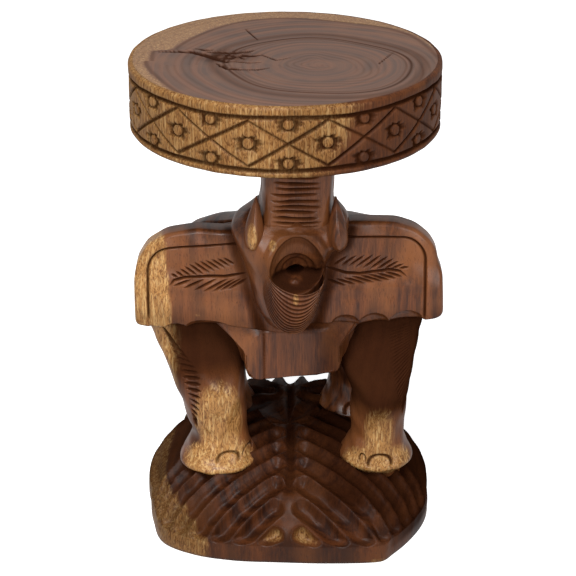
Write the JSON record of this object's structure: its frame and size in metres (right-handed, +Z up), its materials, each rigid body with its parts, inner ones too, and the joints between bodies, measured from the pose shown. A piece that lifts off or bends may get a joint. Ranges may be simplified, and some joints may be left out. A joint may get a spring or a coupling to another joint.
{
  "type": "carved elephant stool",
  "caption": "Low round stool: a thick disc seat on the raised trunk of a standing carved elephant, which stands on a fluted mound base.",
  "frame": {"origin": "middle of the underside of the base, on the floor, under the centre of the round seat", "axes": "+Z up, the elephant faces -Y, +X to the right of someone who looks at its face"},
  "size_m": [0.324, 0.3202, 0.508],
  "materials": {
    "seat_wood": "oiled, satin, pale sapwood at the rim and darker heartwood inside",
    "figure_wood": "oiled, semi-gloss, dark heartwood with streaks of pale sapwood",
    "base_wood": "oiled, semi-gloss, dark heartwood with pale sapwood on one side"
  },
  "bodies": {
    "root": {"seat": "seat_wood", "trunk": "figure_wood", "head": "figure_wood", "lower_jaw": "figure_wood", "left_tusk": "figure_wood", "right_tusk": "figure_wood", "left_ear": "figure_wood", "right_ear": "figure_wood", "body": "figure_wood", "front_left_leg": "figure_wood", "front_right_leg": "figure_wood", "rear_left_leg": "figure_wood", "rear_right_leg": "figure_wood", "tail": "figure_wood", "base": "base_wood"}
  },
  "joints": []
}
